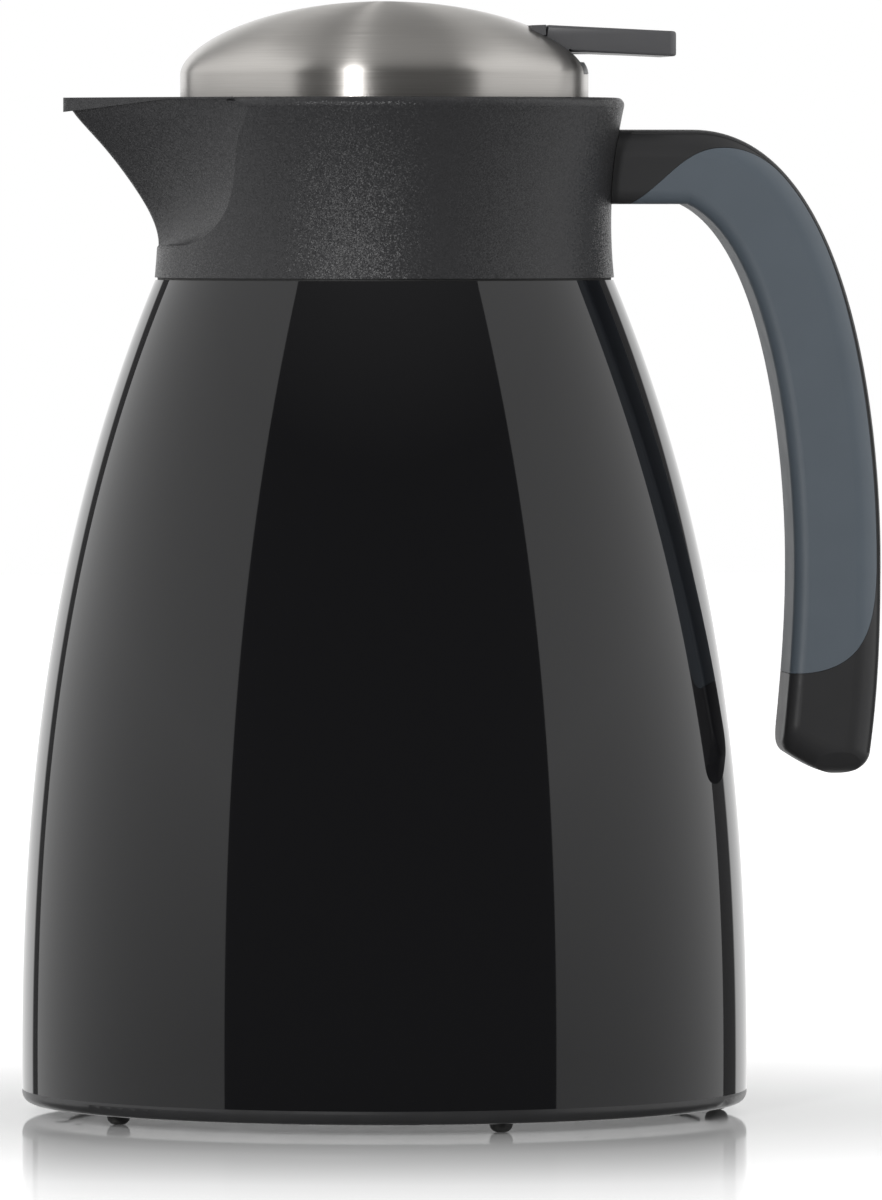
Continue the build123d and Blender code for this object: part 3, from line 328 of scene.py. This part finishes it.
# Screws: zinc-plated steel with rolled threads hidden in their holes; they hold the base to the
# shell, the handle to the collar and the deck to the lid. The lever's pin is of the same steel.
screw_steel = finish("screw_steel", (0.6, 0.6, 0.61), 0.3, metallic=1.0)
colour_blend(screw_steel, mottle(screw_steel, 900.0), (0.5, 0.5, 0.5), (0.66, 0.66, 0.68))
vary(screw_steel, "Roughness", mottle(screw_steel, 1800.0), 0.2, 0.42)
relief(screw_steel, mottle(screw_steel, 500.0, 2.0, (1.0, 1.0, 12.0)), 0.000006)
dress(screw_steel, "base_screws", "handle_screws", "deck_screws", "lever_pin")


# Flask: two blown glass walls, silvered on the sides that face the vacuum between them, so both
# look like a slightly wavy mirror with a warm tint and a few dull specks.
silvered_glass = finish("silvered_glass", (0.85, 0.87, 0.88), 0.05, metallic=1.0)
colour_blend(silvered_glass, mottle(silvered_glass, 25.0, 4.0), (0.8, 0.8, 0.79), (0.9, 0.9, 0.89))
specks = ramp(silvered_glass.node_tree, mottle(silvered_glass, 180.0, 5.0), 0.62, 0.72)
vary(silvered_glass, "Roughness", specks, 0.04, 0.3)
relief(silvered_glass, mottle(silvered_glass, 30.0), 0.0003)
dress(silvered_glass, "flask_outer_wall", "flask_inner_wall")


# Vacuum pads: three discs of pressed grey fibre that keep the flask's walls apart.
pad_fibre = finish("pad_fibre", (0.42, 0.4, 0.37), 0.9)
fibres = mottle(pad_fibre, 900.0, 5.0, (1.0, 4.0, 1.0))
colour_blend(pad_fibre, fibres, (0.3, 0.29, 0.27), (0.55, 0.53, 0.5))
relief(pad_fibre, fibres, 0.0001)
dress(pad_fibre, "vacuum_pads")


# Flask cushion: a ring of black foam rubber under the flask, with small open pores.
cushion_foam = finish("cushion_foam", (0.03, 0.03, 0.03), 0.85)
pores = ramp(cushion_foam.node_tree, mottle(cushion_foam, 1100.0, 1.0), 0.4, 0.55)
colour_blend(cushion_foam, pores, (0.01, 0.01, 0.01), (0.045, 0.045, 0.045))
relief(cushion_foam, pores, 0.0002)
dress(cushion_foam, "flask_cushion")


# Seals: milky silicone rings at the flask's neck, round the stopper, at the deck and its stem and
# on the valve, moulded with a faint matt skin.
seal_silicone = finish("seal_silicone", (0.52, 0.53, 0.54), 0.42, subsurface_weight=0.2)
colour_blend(seal_silicone, mottle(seal_silicone, 150.0), (0.46, 0.47, 0.48), (0.58, 0.59, 0.6))
vary(seal_silicone, "Roughness", mottle(seal_silicone, 700.0), 0.35, 0.5)
relief(seal_silicone, mottle(seal_silicone, 2500.0), 0.000008)
dress(seal_silicone, "neck_seal", "stopper_gasket", "deck_seal", "stem_seal", "valve_seal")


# Collar: black plastic moulded against an etched tool, so the surface is matt with a fine grain
# whose facets glint. It carries the pinched spout and clamps the shell's shoulder and the flask.
textured_black = finish("textured_black", (0.033, 0.033, 0.035), 0.42, specular_ior_level=0.35)
tree = textured_black.node_tree
grain = tree.nodes.new("ShaderNodeTexVoronoi")
grain.inputs["Scale"].default_value = 5200.0
tree.links.new(own_place(textured_black), grain.inputs["Vector"])
cell = tree.nodes.new("ShaderNodeSeparateColor")
tree.links.new(grain.outputs["Color"], cell.inputs[0])
colour_blend(textured_black, cell.outputs["Green"], (0.021, 0.021, 0.022), (0.028, 0.028, 0.03))
vary(textured_black, "Roughness", cell.outputs["Blue"], 0.28, 0.44)
facet = tree.nodes.new("ShaderNodeVectorMath")
facet.operation = "MULTIPLY_ADD"
facet_tilt = 0.2
facet.inputs[1].default_value = (2 * facet_tilt, 2 * facet_tilt, 2 * facet_tilt)
facet.inputs[2].default_value = (-facet_tilt, -facet_tilt, -facet_tilt)
tree.links.new(grain.outputs["Color"], facet.inputs[0])
tilted = tree.nodes.new("ShaderNodeVectorMath")
tree.links.new(facet.outputs[0], tilted.inputs[0])
tree.links.new(tree.nodes.new("ShaderNodeNewGeometry").outputs["Normal"], tilted.inputs[1])
level = tree.nodes.new("ShaderNodeVectorMath")
level.operation = "NORMALIZE"
tree.links.new(tilted.outputs[0], level.inputs[0])
tree.links.new(level.outputs[0], tree.nodes["Principled BSDF"].inputs["Normal"])
dress(textured_black, "collar")


# Handle frame: black plastic moulded in one with its root and its free end, and screwed to the
# collar from inside. Its surface is satin, smoother than the collar's grain.
satin_black = finish("satin_black", (0.026, 0.026, 0.027), 0.42, specular_ior_level=0.35)
vary(satin_black, "Roughness", mottle(satin_black, 220.0), 0.38, 0.48)
relief(satin_black, mottle(satin_black, 2600.0), 0.000006)
dress(satin_black, "handle_frame")


# Handle grip: soft grey rubber moulded round the middle of the frame, smooth with a dull sheen.
grip_grey = finish("grip_grey", (0.081, 0.1, 0.12), 0.46)
colour_blend(grip_grey, mottle(grip_grey, 90.0), (0.076, 0.094, 0.113), (0.086, 0.106, 0.127))
vary(grip_grey, "Roughness", mottle(grip_grey, 160.0), 0.42, 0.52)
relief(grip_grey, mottle(grip_grey, 3500.0), 0.000008)
dress(grip_grey, "handle_grip")


# Inner mouldings: thread insert, lid body and deck and the valve's stem, disc and head, all in
# black food-safe plastic with a soft gloss and faint flow marks from the tool.
inner_black = finish("inner_black", (0.03, 0.03, 0.031), 0.38)
flow = mottle(inner_black, 40.0, 3.0, (1.0, 1.0, 5.0))
colour_blend(inner_black, flow, (0.024, 0.024, 0.025), (0.037, 0.037, 0.038))
vary(inner_black, "Roughness", flow, 0.3, 0.45)
relief(inner_black, mottle(inner_black, 2000.0), 0.000008)
dress(inner_black, "thread_insert", "lid_body", "lid_deck", "valve_stem", "valve_disc", "valve_head")


# Valve spring: bright drawn steel wire, with fine marks of the drawing along it. It stands
# between the lid's deck and the valve's disc; the real spring shortens as the disc rises, here it
# keeps one shape and rides on the lid.
spring_steel = finish("spring_steel", (0.65, 0.65, 0.66), 0.25, metallic=1.0)
vary(spring_steel, "Roughness", mottle(spring_steel, 2500.0), 0.18, 0.36)
colour_blend(spring_steel, mottle(spring_steel, 600.0), (0.58, 0.58, 0.58), (0.7, 0.7, 0.71))
spring_shape = bmesh.new()
spring_shape.from_mesh(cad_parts["valve_spring"].data)
bmesh.ops.remove_doubles(spring_shape, verts=spring_shape.verts, dist=1e-6)
spring = piece("spring", spring_shape, "lid", spring_steel)
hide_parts("valve_spring")
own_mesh(spring)


# Lid dome: stainless sheet spun over a former and brushed round its axis, with a slot cut in its
# edge for the lever. It snaps over the deck's rim.
dome_radius, dome_top, dome_side, dome_edge = 0.0438, 0.2383, 0.2226, 0.216
dome_line = bow((0.0, 0.0, dome_top), 0.0, 0.0269, (dome_radius, 0.0, dome_side), -90.0, 0.0059, 48)
slot_end, slot_half, sheet = 0.0301, 0.0143, 0.0008
dome_shape = bmesh.new()
points = [dome_shape.verts.new(point) for point in [*dome_line, Vector((dome_radius, 0.0, dome_edge))]]
sides = [dome_shape.edges.new(pair) for pair in zip(points, points[1:])]
bmesh.ops.spin(dome_shape, geom=points + sides, cent=(0, 0, 0), axis=(0, 0, 1), angle=2 * pi, steps=192,
               use_merge=True)
bmesh.ops.remove_doubles(dome_shape, verts=dome_shape.verts, dist=1e-6)
for place, direction_out in (((slot_end, 0, 0), (1, 0, 0)), ((0, slot_half, 0), (0, 1, 0)),
                             ((0, -slot_half, 0), (0, -1, 0))):
    bmesh.ops.bisect_plane(dome_shape, geom=[*dome_shape.verts, *dome_shape.edges, *dome_shape.faces],
                           dist=1e-7, plane_co=place, plane_no=direction_out)
cut_out = [face for face in dome_shape.faces
           if face.calc_center_median().x > slot_end and abs(face.calc_center_median().y) < slot_half
           and face.calc_center_median().z > dome_side]
bmesh.ops.delete(dome_shape, geom=cut_out, context="FACES")
bmesh.ops.recalc_face_normals(dome_shape, faces=dome_shape.faces)
bmesh.ops.solidify(dome_shape, geom=dome_shape.faces[:], thickness=sheet)
brushed_steel = finish("brushed_steel", (0.55, 0.53, 0.505), 0.36, metallic=1.0, anisotropic=0.95,
                       anisotropic_rotation=0.25)
tree = brushed_steel.node_tree
place = tree.nodes.new("ShaderNodeSeparateXYZ")
tree.links.new(own_place(brushed_steel), place.inputs[0])
radius = node_value(tree, "SQRT", node_value(tree, "ADD", node_value(tree, "POWER", place.outputs["X"], 2.0),
                                             node_value(tree, "POWER", place.outputs["Y"], 2.0)))
along = node_value(tree, "SUBTRACT", radius, place.outputs["Z"])
line = tree.nodes.new("ShaderNodeCombineXYZ")
tree.links.new(node_value(tree, "MULTIPLY", along, 4000.0), line.inputs["X"])
for axis, turn in (("X", "Y"), ("Y", "Z")):
    around = node_value(tree, "DIVIDE", place.outputs[axis], node_value(tree, "ADD", radius, 0.001))
    tree.links.new(node_value(tree, "MULTIPLY", around, 2.5), line.inputs[turn])
brushing = tree.nodes.new("ShaderNodeTexNoise")
brushing.inputs["Scale"].default_value = 1.0
tree.links.new(line.outputs[0], brushing.inputs["Vector"])
colour_blend(brushed_steel, brushing.outputs["Fac"], (0.48, 0.46, 0.435), (0.62, 0.6, 0.575))
vary(brushed_steel, "Roughness", brushing.outputs["Fac"], 0.28, 0.42)
relief(brushed_steel, brushing.outputs["Fac"], 0.000012)
grain_way = tree.nodes.new("ShaderNodeTangent")
grain_way.direction_type = "RADIAL"
grain_way.axis = "Z"
tree.links.new(grain_way.outputs[0], tree.nodes["Principled BSDF"].inputs["Tangent"])
dome = piece("dome", dome_shape, "lid", brushed_steel)
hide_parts("lid_dome")


# Lever and bezel: the thumb lever turns on its pin and tips into the slot's black lining. Both
# are satin plastic; the lever's edges are rounded where the thumb lies.
lever_plastic = finish("lever_plastic", (0.08, 0.08, 0.084), 0.36)
colour_blend(lever_plastic, mottle(lever_plastic, 150.0), (0.074, 0.074, 0.078), (0.086, 0.086, 0.09))
vary(lever_plastic, "Roughness", mottle(lever_plastic, 400.0), 0.3, 0.42)
relief(lever_plastic, mottle(lever_plastic, 3000.0), 0.00001)
dress(lever_plastic, "lever_bezel")
lever_shape = bmesh.new()
lever_shape.from_mesh(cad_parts["lever"].data)
bmesh.ops.remove_doubles(lever_shape, verts=lever_shape.verts, dist=1e-6)
bmesh.ops.dissolve_limit(lever_shape, angle_limit=radians(1.0), verts=lever_shape.verts,
                         edges=lever_shape.edges)
plate_start = 0.0335
plate_edges = [edge for edge in lever_shape.edges
               if min(end.co.x for end in edge.verts) > plate_start
               and edge.calc_face_angle(0.0) > radians(40.0)]
bmesh.ops.bevel(lever_shape, geom=plate_edges, offset=0.0006, segments=4, profile=0.5, affect="EDGES",
                material=-1, clamp_overlap=True)
thumb_lever = piece("thumb_lever", lever_shape, "lever", lever_plastic, sharp=30.0)
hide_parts("lever")
